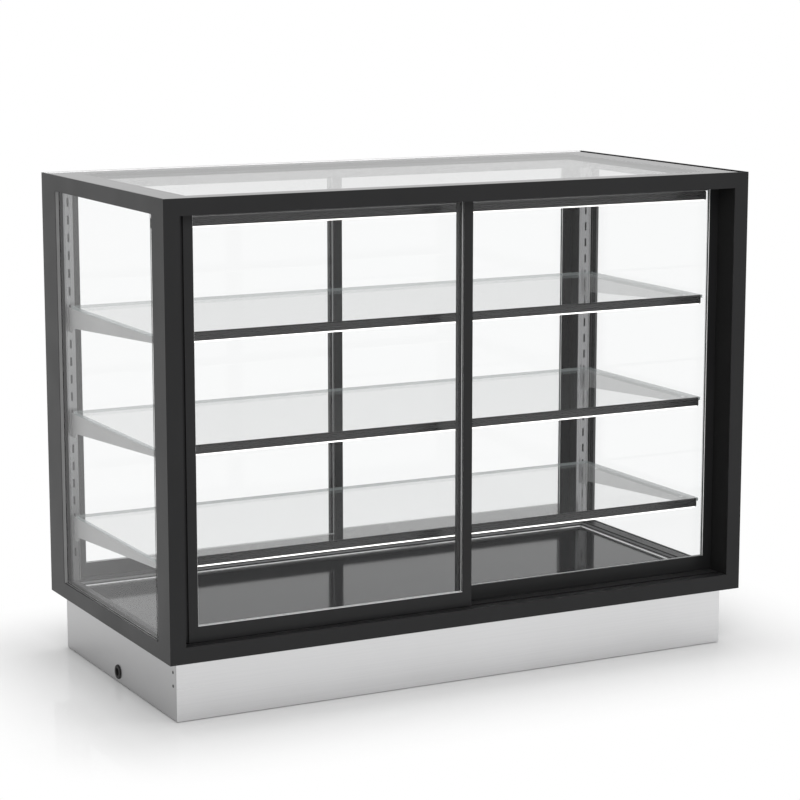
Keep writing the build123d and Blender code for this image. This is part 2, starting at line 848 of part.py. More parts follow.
def thermostat():
    """The thermostat behind the rear panel, with its bushing and shaft through the sheet."""
    inside = plinth_rear_y - sheet
    half = thermostat_size / 2
    body = block((-half, half), (inside - thermostat_depth, inside), (-half, half))
    body = fillet(body.edges().filter_by(Axis.Y), 3)
    body += disc(0, 0, (inside - 1, plinth_rear_y), bushing_radius)
    shaft_end = plinth_rear_y + knob_gap + knob_height - knob_cap - shaft_end_gap
    body += disc(0, 0, (inside - 1, shaft_end), shaft_radius)
    return Pos(knob_x, 0, control_height) * body


def rocker_pivot_y():
    """How far back the rockers' pivot line lies."""
    return plinth_rear_y + switch_bezel_proud - rocker_pivot_depth


def switch_housings():
    """The two switch bodies, each with a bezel, a pocket for its rocker and pivot holes."""
    made = []
    pivot = rocker_pivot_y()
    outer = plinth_rear_y + switch_bezel_proud
    for x in switch_xs.values():
        half_x, half_z = switch_bezel_width / 2, switch_bezel_height / 2
        bezel = block((-half_x, half_x), (plinth_rear_y, outer), (-half_z, half_z))
        bezel = fillet(bezel.edges().filter_by(Axis.Y), 2)
        half_x, half_z = switch_body_width / 2, switch_body_height / 2
        body = bezel + block(
            (-half_x, half_x), (plinth_rear_y - switch_body_depth, plinth_rear_y), (-half_z, half_z)
        )
        pocket_x = rocker_width / 2 + rocker_play
        pocket_z = rocker_radius + rocker_play
        body -= block((-pocket_x, pocket_x), (pivot - rocker_back - 3, outer), (-pocket_z, pocket_z))
        reach = pocket_x + rocker_pin_length
        body -= bar_along_x(pivot, 0, (-reach, reach), rocker_pin_radius + rocker_pin_play)
        made.append(Pos(x, 0, control_height) * body)
    return {"switch_housings": Compound(children=made)}


def rocker(x):
    """A rocker that turns on two stub pins, drawn with its lower end pressed in."""
    rise = rocker_radius * tan(radians(rocker_tilt))
    reach = rocker_radius + 1
    outline = Polyline(
        (-rocker_back, -reach),
        (rocker_apex + rise * reach / rocker_radius, -reach),
        (rocker_apex, 0),
        (rocker_apex + rise * reach / rocker_radius, reach),
        (-rocker_back, reach),
        close=True,
    )
    face = make_face(outline) & Circle(rocker_radius)
    body = extrude(Plane.YZ * face, rocker_width / 2, both=True)
    pins = rocker_width / 2 + rocker_pin_length
    body += bar_along_x(0, 0, (-pins, pins), rocker_pin_radius)
    return Pos(x, rocker_pivot_y(), control_height) * Rot(-rocker_tilt, 0, 0) * body


def electrics():
    """The lamp driver and the terminal block on the plinth's floor, set in from its rear face."""
    floor_top = 2 * sheet
    long, deep, high = driver_size
    x, y = driver_place[0], plinth_rear_y - driver_place[1]
    driver = block((x - long / 2, x + long / 2), (y - deep / 2, y + deep / 2), (floor_top, floor_top + high))
    driver = fillet(driver.edges().filter_by(Axis.X), 2)
    long, deep, high = terminal_size
    x, y = terminal_place[0], plinth_rear_y - terminal_place[1]
    strip = block((x - long / 2, x + long / 2), (y - deep / 2, y + deep / 2), (floor_top, floor_top + high / 2))
    pole = long / terminal_poles
    for n in range(terminal_poles + 1):
        rib_x = x - long / 2 + n * pole
        low, high_x = max(rib_x - 1, x - long / 2), min(rib_x + 1, x + long / 2)
        strip += block((low, high_x), (y - deep / 2, y + deep / 2), (floor_top, floor_top + high))
    for n in range(terminal_poles):
        strip += Pos(x - long / 2 + (n + 0.5) * pole, y, floor_top + high / 2) * Cylinder(3, high / 2)
    return {"led_driver": driver, "terminal_block": strip}


def controls():
    """The knob, the thermostat, the two rockers and their housings."""
    made = {"thermostat_knob": knob(), "thermostat": thermostat(), **switch_housings()}
    for name, x in switch_xs.items():
        made[name] = rocker(x)
    return made


def main():
    """Build every node and write one STEP file for each."""
    os.makedirs("parts", exist_ok=True)
    sections = (
        posts, base_ring, top_ring, fixed_glass, tracks, doors, shelf_standards, shelf_brackets,
        shelves, rail_end_caps, light_diffusers, deck, plinth, controls, electrics,
    )
    nodes = {}
    for make in sections:
        nodes.update(make())
    for name, shape in nodes.items():
        export_step(shape, f"parts/{name}.step")
    print(len(nodes), "nodes written")


main()
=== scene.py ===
"""Looks of a heated drop-in display case, laid out as an add-on.

The case's solids are loaded as a fixed frame. Each operator below finishes one group of its pieces:
it gives the solids their materials and soft edges, and adds the seals, screws and marks. All values are
in metres, and all places come from the loaded solids.
"""

from math import cos, pi, radians, sin, tan

import bmesh
import bpy
from bpy.props import FloatProperty, FloatVectorProperty, PointerProperty
from mathutils import Matrix, Vector


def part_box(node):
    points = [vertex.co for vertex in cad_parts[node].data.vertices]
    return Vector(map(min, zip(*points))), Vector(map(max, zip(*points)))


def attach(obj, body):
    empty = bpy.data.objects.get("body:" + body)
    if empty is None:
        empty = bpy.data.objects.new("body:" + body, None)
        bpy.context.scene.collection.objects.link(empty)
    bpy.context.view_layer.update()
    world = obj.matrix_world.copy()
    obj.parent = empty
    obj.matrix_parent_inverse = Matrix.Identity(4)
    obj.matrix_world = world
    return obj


bl_info = {
    "name": "Heated Display Case",
    "version": (1, 0, 0),
    "blender": (4, 5, 0),
    "location": "View3D > Sidebar > Display Case",
    "description": "Finishes the pieces of a heated drop-in display case",
    "category": "Object",
}

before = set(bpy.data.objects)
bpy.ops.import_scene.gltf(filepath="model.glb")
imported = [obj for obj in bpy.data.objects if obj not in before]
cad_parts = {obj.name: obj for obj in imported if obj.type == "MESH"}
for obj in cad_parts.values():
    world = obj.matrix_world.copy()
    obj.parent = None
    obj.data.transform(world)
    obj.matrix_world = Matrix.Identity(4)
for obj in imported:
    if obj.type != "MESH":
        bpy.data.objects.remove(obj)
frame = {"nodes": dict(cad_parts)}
MM = 0.001
SIDES = {"left": -1, "right": 1}
ENDS = {"front": -1, "rear": 1}
SHELVES = ("upper", "middle", "lower")
PLAIN_WHITE = (1.0, 1.0, 1.0)
# More than the faces of glass that lie in one line of sight, with the doors slid over each other.
GLASS_FACES_DEEP = 32
# A fold of more than this is an edge to round, or one that stays sharp.
SHARP_FOLD = radians(35)
# The thickness of a mark, and how far a seal stays short of the lip beside it.
HAIR = 0.1 * MM
# The star recess of the screws.
STAR_POINTS, STAR_DEPTH = 6, 0.18
# Measures of the solids that their boxes don't give.
KNOB_GRIP_RADIUS = 19 * MM
ROCKER_TILT = radians(8)
ROCKER_PIVOT_UP = 16.5 * MM
ROCKER_PIVOT_IN = 3 * MM
ROCKER_FACE_OUT = 4.5 * MM
# The turn of the knob between two marks of its scale.
SCALE_STEP = radians(30)
# Name, place, width in metres and power in watts.
LAMPS = (
    ("key_lamp", (-1.4, -3.7, 3.6), 2.6, 100),
    ("fill_lamp", (3.4, -2.4, 2.8), 2.4, 36),
    ("top_lamp", (0.2, 0.6, 4.2), 3.0, 70),
)
LAMP_TARGET = Vector((0, 0, 0.45))


def colour(name, description, default):
    """A colour that a user may change."""
    return FloatVectorProperty(
        name=name, description=description, subtype="COLOR", size=3, min=0.0, max=1.0, default=default
    )


def length(name, description, default):
    """A length that a user may change."""
    return FloatProperty(name=name, description=description, unit="LENGTH", min=0.0, default=default)


class CaseColours(bpy.types.PropertyGroup):
    """Colours of the case's finishes."""

    frame: colour("Frame", "Satin powder coat of the posts, beams and door frames", (0.015, 0.015, 0.0155))
    track: colour("Tracks", "Anodised door tracks", (0.015, 0.015, 0.0155))
    rail: colour("Shelf rails", "Anodised front rails of the shelves", (0.011, 0.011, 0.0115))
    steel: colour("Stainless steel", "Brushed plinth and trim", (0.7, 0.7, 0.705))
    standard: colour("Shelf standards", "Duller steel of the slotted standards", (0.31, 0.31, 0.315))
    rivet: colour("Rivets", "Blackened rivets of the plinth", (0.09, 0.09, 0.09))
    bracket: colour("Brackets", "Light coat of the shelf brackets", (0.4, 0.4, 0.4))
    glass: colour("Glass", "What one face of clear glass lets through", (0.988, 0.99, 0.99))
    glass_edge: colour("Glass edge", "The cut edge of a pane", (0.36, 0.4, 0.4))
    border: colour("Printed border", "The fired border of the top pane", (0.012, 0.012, 0.013))
    deck: colour("Deck", "Black glass of the heated deck", (0.011, 0.011, 0.012))
    # Light grey that paints the reflection on the walls round the deck.
    lining: colour("Deck lining", "Satin strips round the deck", (0.2, 0.2, 0.2))
    lamp: colour("Lamp strips", "Light of the opal strips", (1.0, 0.985, 0.95))
    seal: colour("Clear seals", "Silicone seals round the panes, and the shelf pads", (0.93, 0.94, 0.94))
    # A dark matt colour that paints the shade in the door jambs and in the groove at the right of the top
    # pane.
    felt: colour("Felt", "Black felt beside the doors and the top pane", (0.012, 0.012, 0.012))
    # Grey of the glazing rubber, partly painted reflection: it stands in for the glass's reflection and edge
    # highlight beside the side panes.
    gasket_and_reflection: colour("Glazing rubber", "Grey rubber outside the side panes", (0.19, 0.19, 0.19))
    plastic: colour("Black plastic", "Knob, switches and end caps", (0.012, 0.012, 0.012))
    mark: colour("Marks", "Pale marks on the controls", (0.85, 0.85, 0.83))


class CaseSizes(bpy.types.PropertyGroup):
    """Sizes of the finishing details."""

    soft_edge: length("Soft edge", "Rounding of the coated and anodised edges", 0.6 * MM)
    sheet_edge: length("Sheet edge", "Rounding of folded and cut sheet edges", 0.4 * MM)
    fine_edge: length("Fine edge", "Rounding of the standards, the deck's trim and the switches", 0.3 * MM)
    rail_edge: length("Rail edge", "Rounding of the shelf rails' corners", 1.0 * MM)
    cap_edge: length("End cap edge", "Rounding of the shelf rails' end caps", 1.4 * MM)
    border_side: length("Border at the sides", "Width of the printed border at the left and right", 60 * MM)
    border_front: length("Border at the front", "Width of the printed border at the front and back", 50 * MM)
    seal_width: length("Seal width", "How far a pane's seal stands out from the door frame", 0.9 * MM)
    seal_height: length("Seal height", "How far a pane's seal stands up from the glass", 1.0 * MM)
    # Thickness of the dark felt that paints the shade on the posts' inner faces.
    felt: length("Jamb felt", "Thickness of the felt on the posts beside the doors", 0.3 * MM)
    screw_radius: length("Screw head", "Radius of the panel screws' heads", 4.0 * MM)
    pad_radius: length("Shelf pad", "Radius of the clear pads under the shelves", 4.0 * MM)
    dial_radius: length("Dial", "Inner radius of the thermostat's scale", 24 * MM)
    lamp_glow: FloatProperty(
        name="Lamp glow", description="Strength of the opal strips' light", min=0.0, default=1.2
    )


class StageSettings(bpy.types.PropertyGroup):
    """Camera, lamps and floor."""

    camera_place: FloatVectorProperty(
        name="Camera", description="Where the camera stands", subtype="TRANSLATION", unit="LENGTH",
        size=3, default=(-2.1882, -4.2220, 1.3271),
    )
    camera_turn: FloatProperty(
        name="Turn", description="Angle of the view to the right of straight ahead", subtype="ANGLE",
        default=radians(27.5),
    )
    camera_tilt: FloatProperty(
        name="Tilt", description="Angle of the view below the horizon", subtype="ANGLE", default=radians(10.0)
    )
    lens: FloatProperty(name="Lens", description="Focal length in millimetres", min=1.0, default=112.4)
    floor: colour("Floor", "Pale glossy floor", (0.77, 0.77, 0.77))
    ambient: FloatProperty(name="Ambient", description="Light from all round", min=0.0, default=0.6)
    mirrored: FloatProperty(
        name="Mirrored room", description="How bright the room is in a mirror", min=0.0, default=0.76
    )
    shade_reach: length("Shade", "How far from the plinth the floor's shade fades into plain white", 0.36)
    floor_radius: length("Floor size", "Radius of the floor", 40.0)


def node_box(name):
    """Lowest and highest corners of a solid, as vectors."""
    low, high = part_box(name)
    return Vector(low), Vector(high)


class Recipe:
    """A material's node tree, written as short steps."""

    def __init__(self, name):
        self.material = bpy.data.materials.new(name)
        self.material.use_nodes = True
        self.tree = self.material.node_tree
        self.tree.nodes.clear()
        self.output = self.tree.nodes.new("ShaderNodeOutputMaterial")

    def add(self, kind, settings=None, **inputs):
        """A node with its settings, and its inputs set or linked; names use spaces as underscores."""
        node = self.tree.nodes.new(kind)
        for key, value in (settings or {}).items():
            setattr(node, key, value)
        for key, value in inputs.items():
            self.feed(node, key.replace("_", " "), value)
        return node

    def feed(self, node, key, value):
        """Set an input of a node, or link another node's output to it."""
        socket = node.inputs[int(key[1:])] if key[0] == "n" and key[1:].isdigit() else node.inputs[key]
        if isinstance(value, bpy.types.NodeSocket):
            self.tree.links.new(value, socket)
        elif hasattr(value, "__len__") and len(value) == 3 and socket.type == "RGBA":
            socket.default_value = (*value, 1.0)
        else:
            socket.default_value = value

    def math(self, operation, first, second=0.0, clamp=False):
        """The result of a sum on one or two values."""
        node = self.add("ShaderNodeMath", {"operation": operation, "use_clamp": clamp}, n0=first, n1=second)
        return node.outputs[0]

    def place(self, stretch=(1, 1, 1)):
        """The point on the object, stretched along the axes."""
        spot = self.add("ShaderNodeTexCoord").outputs["Object"]
        return self.add("ShaderNodeMapping", None, Vector=spot, Scale=stretch).outputs[0]

    def grain(self, scale, stretch=(1, 1, 1), detail=3.0):
        """Soft noise over the object."""
        node = self.add("ShaderNodeTexNoise", None, Vector=self.place(stretch), Scale=scale, Detail=detail)
        return node.outputs[0]

    def spread(self, value, low, high):
        """Noise, which mostly lies between 0.3 and 0.7, stretched to the range from low to high."""
        least, most = 0.3, 0.7
        node = self.add(
            "ShaderNodeMapRange", None, Value=value, From_Min=least, From_Max=most, To_Min=low, To_Max=high
        )
        return node.outputs[0]

    def shade(self, value, dark, light):
        """A colour between two, by a value."""
        node = self.add("ShaderNodeMix", {"data_type": "RGBA"})
        self.feed(node, "n0", value)
        node.inputs[6].default_value = (*dark, 1.0)
        node.inputs[7].default_value = (*light, 1.0)
        return node.outputs[2]

    def bump(self, height, strength, distance=0.0002):
        """A normal from a height."""
        node = self.add("ShaderNodeBump", None, Height=height, Strength=strength, Distance=distance)
        return node.outputs[0]

    def join(self, share, first, second):
        """Two shaders, the second one by its share."""
        return self.add("ShaderNodeMixShader", None, n0=share, n1=first, n2=second).outputs[0]

    def done(self, shader):
        """Send the shader to the output."""
        self.tree.links.new(shader, self.output.inputs["Surface"])
        return self.material


def tinted(base, factor):
    """A colour made lighter or darker."""
    return tuple(min(1.0, part * factor) for part in base)


def powder_coat(name, base, roughness=0.36):
    """Satin powder coat with a fine orange-peel surface and a slight wear in its sheen."""
    mix = Recipe(name)
    patches = mix.grain(9.0)
    peel = mix.grain(900.0, detail=1.0)
    shader = mix.add(
        "ShaderNodeBsdfPrincipled", None,
        Base_Color=mix.shade(patches, tinted(base, 0.8), tinted(base, 1.25)),
        Roughness=mix.spread(patches, roughness - 0.03, roughness + 0.04),
        IOR=1.28, Normal=mix.bump(peel, 0.05),
    )
    return mix.done(shader.outputs[0])


def anodised(name, base, roughness=0.3):
    """Anodised aluminium with faint lines along its length."""
    mix = Recipe(name)
    lines = mix.grain(60.0, (0.02, 6.0, 6.0))
    shader = mix.add(
        "ShaderNodeBsdfPrincipled", None,
        Base_Color=mix.shade(lines, tinted(base, 0.75), tinted(base, 1.35)),
        Roughness=mix.spread(lines, roughness - 0.04, roughness + 0.06),
        IOR=1.5, Normal=mix.bump(lines, 0.06),
    )
    return mix.done(shader.outputs[0])


def brushed_steel(name, base, along, roughness=0.34):
    """Stainless steel brushed along one axis, with soft clouds in its shine."""
    stretch = [9.0, 9.0, 9.0]
    stretch["XYZ".index(along)] = 0.05
    mix = Recipe(name)
    hairs = mix.grain(55.0, stretch, 5.0)
    clouds = mix.grain(2.4)
    streaks = mix.math("ADD", mix.math("MULTIPLY", hairs, 0.4), mix.math("MULTIPLY", clouds, 0.6))
    shade = mix.shade(streaks, tinted(base, 0.84), tinted(base, 1.16))
    shader = mix.add(
        "ShaderNodeBsdfPrincipled", None, Base_Color=shade, Metallic=1.0,
        Roughness=mix.math("ADD", mix.spread(hairs, roughness - 0.05, roughness + 0.05),
                           mix.spread(clouds, -0.02, 0.03)),
        Normal=mix.bump(hairs, 0.05),
    )
    return mix.done(shader.outputs[0])


def moulded(name, base, roughness=0.45, grain=0.1):
    """Moulded plastic or rubber with a fine spark-eroded grain."""
    mix = Recipe(name)
    fine = mix.grain(1400.0, detail=1.0)
    shader = mix.add(
        "ShaderNodeBsdfPrincipled", None,
        Base_Color=mix.shade(mix.grain(30.0), tinted(base, 0.85), tinted(base, 1.15)),
        Roughness=mix.spread(fine, roughness - 0.05, roughness + 0.05), Normal=mix.bump(fine, grain),
    )
    return mix.done(shader.outputs[0])


def glass_shader(mix, through, shine, veil, head_on=0.012):
    """Clear glass, more of a mirror at a slant than head on, and the same from both sides.

    shine and head_on are the mirror's share at a slant and head on, and veil is the share of dust.
    Seen in a mirror, or by light that was scattered before, the glass only lets light through. That
    keeps the picture free of grain.
    """
    slant = mix.add("ShaderNodeLayerWeight", None, Blend=0.5).outputs["Facing"]
    path = mix.add("ShaderNodeLightPath").outputs
    second_hand = mix.math("MAXIMUM", path["Is Glossy Ray"], path["Is Diffuse Ray"])
    at_first = mix.math("SUBTRACT", 1.0, second_hand)
    mirror = mix.math("ADD", mix.math("MULTIPLY", mix.math("POWER", slant, 5.0), shine), head_on)
    mirror = mix.math("MULTIPLY", mirror, at_first, True)
    clear = mix.add("ShaderNodeBsdfTransparent", None, Color=through).outputs[0]
    dust = mix.add("ShaderNodeBsdfDiffuse", None, Color=(0.75, 0.76, 0.76)).outputs[0]
    thinnest, thickest = veil * 0.62, veil * 0.78
    film = mix.math("MULTIPLY", mix.spread(mix.grain(3.0), thinnest, thickest), at_first)
    gloss = mix.add("ShaderNodeBsdfGlossy", None, Color=PLAIN_WHITE, Roughness=0.015).outputs[0]
    return mix.join(mirror, mix.join(film, clear, dust), gloss)


def pane_glass(name, through, shine, veil, head_on):
    """Glass of a door or a side."""
    mix = Recipe(name)
    return mix.done(glass_shader(mix, through, shine, veil, head_on))


def shelf_glass(name, through, edge):
    """Glass of a shelf, with the darker grey-green of its cut edges."""
    mix = Recipe(name)
    normal = mix.add("ShaderNodeTexCoord").outputs["Normal"]
    up = mix.add("ShaderNodeSeparateXYZ", None, Vector=normal).outputs["Z"]
    is_edge = mix.math("LESS_THAN", mix.math("ABSOLUTE", up), 0.5)
    cut = mix.add("ShaderNodeBsdfPrincipled", None, Base_Color=edge, Roughness=0.2, Alpha=0.75)
    return mix.done(mix.join(is_edge, glass_shader(mix, through, shine=0.9, veil=0.03), cut.outputs[0]))


def bordered_glass(name, through, border, low, high, sides, ends):
    """Top pane with a fired black border, worked out from the distance to the pane's edges."""
    mix = Recipe(name)
    spot = mix.add("ShaderNodeTexCoord").outputs["Object"]
    parts = mix.add("ShaderNodeSeparateXYZ", None, Vector=spot).outputs
    middle = (low + high) / 2
    half = (high - low) / 2
    past_x, past_y = (
        mix.math("GREATER_THAN", mix.math("ABSOLUTE", mix.math("SUBTRACT", parts[axis], centre)), clear)
        for axis, centre, clear in (("X", middle.x, half.x - sides), ("Y", middle.y, half.y - ends))
    )
    printed = mix.math("MAXIMUM", past_x, past_y)
    ink = mix.add(
        "ShaderNodeBsdfPrincipled", None, Base_Color=border,
        Roughness=mix.spread(mix.grain(12.0), 0.05, 0.09), IOR=1.5,
    )
    return mix.done(mix.join(printed, glass_shader(mix, through, shine=0.75, veil=0.13), ink.outputs[0]))


def glowing(name, base, strength):
    """An opal strip that is lit from behind."""
    mix = Recipe(name)
    even = mix.grain(40.0, (0.5, 1.0, 1.0))
    shader = mix.add(
        "ShaderNodeBsdfPrincipled", None, Base_Color=(0.93, 0.93, 0.92), Roughness=0.5,
        Emission_Color=mix.shade(even, tinted(base, 0.97), base), Emission_Strength=strength,
    )
    return mix.done(shader.outputs[0])


def clear_silicone(name, base):
    """Half-clear silicone of seals and pads."""
    mix = Recipe(name)
    cloud = mix.grain(80.0)
    shader = mix.add(
        "ShaderNodeBsdfPrincipled", None, Base_Color=mix.shade(cloud, tinted(base, 0.9), tinted(base, 1.08)),
        Roughness=mix.spread(cloud, 0.2, 0.32), Alpha=0.92, Normal=mix.bump(cloud, 0.05),
    )
    return mix.done(shader.outputs[0])


def felted(name, dark, light):
    """Matted fibres with no shine."""
    mix = Recipe(name)
    fibres = mix.grain(300.0, (1.0, 1.0, 4.0), 6.0)
    shader = mix.add(
        "ShaderNodeBsdfPrincipled", None, Base_Color=mix.shade(fibres, dark, light),
        Roughness=0.95, Specular_IOR_Level=0.05, Normal=mix.bump(fibres, 0.9, 0.001),
    )
    return mix.done(shader.outputs[0])


def finish_node(name, material, edge=0.0, steps=2):
    """Give a solid its material, and soften its edges."""
    solid = frame["nodes"][name]
    solid.data.materials.clear()
    solid.data.materials.append(material)
    if edge:
        soften(solid, edge, steps)


def soften(piece, width, steps=2):
    """Round a piece's sharp edges."""
    bevel = piece.modifiers.new("soft edges", "BEVEL")
    bevel.width = width
    bevel.segments = steps
    bevel.limit_method = "ANGLE"
    bevel.angle_limit = SHARP_FOLD
    bevel.harden_normals = True


def add_piece(name, mesh, body, material, smooth=True):
    """Put a finished mesh in the scene, riding on its body."""
    bmesh.ops.recalc_face_normals(mesh, faces=mesh.faces)
    data = bpy.data.meshes.new(name)
    mesh.to_mesh(data)
    mesh.free()
    piece = bpy.data.objects.new(name, data)
    bpy.context.scene.collection.objects.link(piece)
    data.materials.append(material)
    for face in data.polygons:
        face.use_smooth = smooth
    if smooth:
        data.set_sharp_from_angle(angle=SHARP_FOLD)
    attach(piece, body)
    return piece


def mitred_ring(mesh, low, high, axis, profile):
    """Sweep a profile round a rectangle with mitred corners.

    The rectangle lies across the axis. A profile point is its distance in from the rectangle and its
    place along the axis.
    """
    across, up = [n for n in range(3) if n != axis]
    loops = []
    for right, top in ((0, 0), (1, 0), (1, 1), (0, 1)):
        loop = []
        for inset, along in profile:
            spot = Vector((0, 0, 0))
            spot[axis] = along
            spot[across] = high[across] - inset if right else low[across] + inset
            spot[up] = high[up] - inset if top else low[up] + inset
            loop.append(mesh.verts.new(spot))
        loops.append(loop)
    for corner, loop in enumerate(loops):
        following = loops[(corner + 1) % len(loops)]
        for n in range(len(profile)):
            m = (n + 1) % len(profile)
            mesh.faces.new((loop[n], loop[m], following[m], following[n]))


def lathe(mesh, profile, place, steps=24, lobes=None):
    """Turn a profile of radius and height round an axis; place carries it to where it belongs.

    With lobes, the points listed in it are waved, for a star-shaped recess.
    """
    rings = []
    for index, (radius, height) in enumerate(profile):
        if radius == 0:
            rings.append([mesh.verts.new(place @ Vector((0, 0, height)))])
            continue
        ring = []
        for n in range(steps):
            angle = 2 * pi * n / steps
            wave = 1 + STAR_DEPTH * cos(STAR_POINTS * angle) if lobes and index in lobes else 1
            ring.append(mesh.verts.new(place @ Vector((
                radius * wave * cos(angle), radius * wave * sin(angle), height
            ))))
        rings.append(ring)
    for first, second in zip(rings, rings[1:]):
        for n in range(steps):
            m = (n + 1) % steps
            corners = [first[n % len(first)], first[m % len(first)], second[m % len(second)],
                       second[n % len(second)]]
            unique = list(dict.fromkeys(corners))
            if len(unique) > 2:
                mesh.faces.new(unique)


def bar(mesh, low, high, place=None):
    """A plain bar between two corners, as one part of a piece."""
    corners = [mesh.verts.new((x, y, z)) for x in (low[0], high[0]) for y in (low[1], high[1])
               for z in (low[2], high[2])]
    for face in ((0, 1, 3, 2), (4, 6, 7, 5), (0, 4, 5, 1), (2, 3, 7, 6), (0, 2, 6, 4), (1, 5, 7, 3)):
        mesh.faces.new([corners[n] for n in face])
    if place:
        bmesh.ops.transform(mesh, matrix=place, verts=corners)


def facing(direction, spot):
    """A place whose own +Z points along a direction."""
    turn = Vector(direction).to_track_quat("Z", "Y").to_matrix().to_4x4()
    return Matrix.Translation(spot) @ turn


def screw(mesh, spot, direction, radius):
    """A domed screw head with a star recess."""
    deep = radius * 0.35
    profile = [
        (0, deep * 0.3), (radius * 0.4, deep * 0.3), (radius * 0.42, radius * 0.5),
        (radius * 0.6, radius * 0.5), (radius * 0.86, radius * 0.38), (radius, radius * 0.12), (radius, 0),
    ]
    lathe(mesh, profile, facing(direction, spot), lobes=(1, 2))


class CASE_OT_frame(bpy.types.Operator):
    """Coat the posts and beams"""

    bl_idname = "display_case.frame"
    bl_label = "Frame"

    def execute(self, context):
        coat = powder_coat("satin_black_coat", context.scene.case_colours.frame)
        posts = [f"{end}_{side}_post" for end in ENDS for side in SIDES]
        beams = [f"{part}_base_beam" for part in (*ENDS, *SIDES)]
        beams += [f"top_{part}_beam" for part in (*ENDS, *SIDES)]
        for name in posts + beams:
            finish_node(name, coat)
        return {"FINISHED"}


class CASE_OT_tracks(bpy.types.Operator):
    """Finish the door tracks"""

    bl_idname = "display_case.tracks"
    bl_label = "Door tracks"

    def execute(self, context):
        colours, sizes = context.scene.case_colours, context.scene.case_sizes
        black = anodised("black_anodised_track", colours.track)
        for end in ENDS:
            for level in ("bottom", "top"):
                finish_node(f"{end}_{level}_track", black, sizes.sheet_edge)
        return {"FINISHED"}


class CASE_OT_fixed_glass(bpy.types.Operator):
    """Glaze the top and the sides, and seal their edges"""

    bl_idname = "display_case.fixed_glass"
    bl_label = "Fixed glass"

    top_seal_width = 1.6 * MM
    top_seal_sunk = 0.5 * MM

    def execute(self, context):
        colours, sizes = context.scene.case_colours, context.scene.case_sizes
        low, high = node_box("top_glass")
        finish_node("top_glass", bordered_glass(
            "top_pane_with_border", colours.glass, colours.border, low, high,
            sizes.border_side, sizes.border_front,
        ))
        clear = pane_glass("side_pane", colours.glass, shine=0.52, veil=0.006, head_on=0.016)
        silicone = clear_silicone("clear_side_seal", colours.seal)
        # The grey rubber is partly painted reflection of the side glass.
        rubber = moulded("grey_rubber_painted_reflection", colours.gasket_and_reflection, 0.5)
        self.top_seal(low, high, silicone)
        # The black strip paints the shade in the groove at the right of the top pane.
        self.top_shade_strip(low, high, felted("black_top_shade_strip", colours.felt, colours.felt))
        for side, sign in SIDES.items():
            finish_node(f"{side}_side_glass", clear)
            self.side_seals(side, sign, silicone, rubber)
        return {"FINISHED"}

    def top_seal(self, low, high, silicone):
        """A fillet of silicone between the top pane and the lip round it, hidden in the beam at the right."""
        lip = node_box("top_left_beam")[1].z - HAIR
        wide = self.top_seal_width
        foot = high.z - self.top_seal_sunk
        mesh = bmesh.new()
        mitred_ring(mesh, low, high + Vector((wide, 0, 0)), 2, [
            (0, foot), (0, lip), (wide * 0.4, lip - 2 * HAIR), (wide, high.z), (wide, foot),
        ])
        add_piece("top_pane_seal", mesh, "case", silicone)

    def top_shade_strip(self, low, high, felt):
        """A black strip between the top pane and the lip at the right, which paints the shade of the groove
        there.
        """
        lip = node_box("top_left_beam")[1].z - HAIR
        inner, outer = high.x - 0.8 * MM, high.x + 0.5 * MM
        wide = self.top_seal_width
        mesh = bmesh.new()
        bar(mesh, (inner, low.y + wide, high.z - self.top_seal_sunk), (outer, high.y - wide, lip))
        add_piece("top_pane_shade_strip", mesh, "case", felt, False)

    def side_seals(self, side, sign, silicone, rubber):
        """A wedge of clear silicone inside a side pane and one of grey rubber outside it; the rubber's grey
        is partly painted reflection of the glass.
        """
        pane_low, pane_high = node_box(f"{side}_side_glass")
        inner, outer = (pane_high.x, pane_low.x) if sign < 0 else (pane_low.x, pane_high.x)
        low = Vector((0, node_box(f"front_{side}_post")[1].y, node_box(f"{side}_base_beam")[1].z))
        high = Vector((0, node_box("shelf_standards")[1].y, node_box(f"top_{side}_beam")[0].z))
        thick, tall = 1.2 * MM, 1.1 * MM
        for name, glass, way, slot, material in (
            ("seal", inner, -sign, "opal_diffuser", silicone),
            ("gasket_and_reflection", outer, sign, "grommet_rubber", rubber),
        ):
            sunk = Vector((0, 0, tall)) if name == "seal" else Vector()
            mesh = bmesh.new()
            mitred_ring(mesh, low - sunk, high, 0, [
                (0, glass), (tall, glass), (tall * 0.8, glass + way * thick * 0.6), (0, glass + way * thick),
            ])
            if name == "gasket_and_reflection":
                self.fill_corner_painted_reflection(mesh, f"rear_{side}_post", glass, sign, (low.z, high.z))
            add_piece(f"{side}_pane_{name}", mesh, "case", material)

    def fill_corner_painted_reflection(self, mesh, post, glass, sign, levels):
        """Grey rubber in the corner between the pane and the edge of the rear post's lip, which paints the
        glass's reflection and edge highlight there.
        """
        reach, thick = 8.0 * MM, 3.6 * MM
        edge = node_box(post)[0].y
        corners = ((glass, edge), (glass, edge - reach), (glass + sign * thick, edge))
        ends = [[mesh.verts.new((x, y, z)) for x, y in corners] for z in levels]
        for ring in ends:
            mesh.faces.new(ring)
        for n, m in ((0, 1), (1, 2), (2, 0)):
            mesh.faces.new((ends[0][n], ends[0][m], ends[1][m], ends[1][n]))


